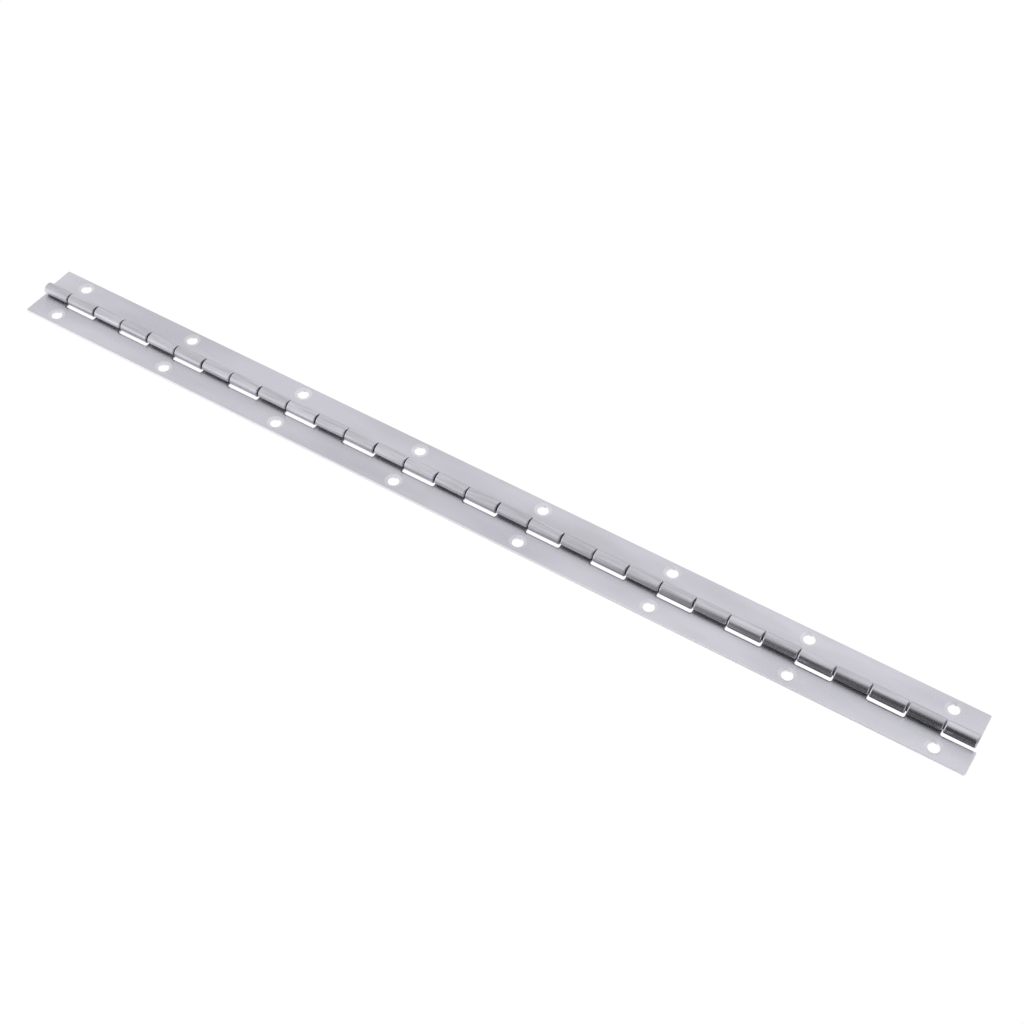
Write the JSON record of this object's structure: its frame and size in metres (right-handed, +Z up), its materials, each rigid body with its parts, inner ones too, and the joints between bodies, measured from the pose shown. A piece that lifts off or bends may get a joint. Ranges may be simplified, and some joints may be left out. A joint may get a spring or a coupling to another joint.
{
  "type": "piano hinge",
  "caption": "Continuous piano hinge in thin satin stainless sheet: flat leaves with interlocking rolled knuckles on a full-length pin, and a row of countersunk screw holes in each leaf.",
  "frame": {"origin": "bottom centre of the hinge lying open and flat: on the plane under both leaves, straight below the middle of the pin", "axes": "+X along the pin, +Y towards the rear leaf, +Z up, out of the side that the barrel stands on"},
  "size_m": [0.2992, 0.02, 0.0037],
  "materials": {
    "leaf_steel": "satin, fine grain along the strip",
    "pin_steel": "drawn wire, semi-bright"
  },
  "bodies": {
    "rear_leaf": {"rear_leaf": "leaf_steel", "hinge_pin": "pin_steel"},
    "front_leaf": {"front_leaf": "leaf_steel"}
  },
  "joints": [
    {"name": "hinge", "type": "hinge", "parent": "rear_leaf", "child": "front_leaf", "pos_m": [0, 0, 0.00185], "axis": [-1, 0, 0], "range_deg": [-100, 190]}
  ]
}
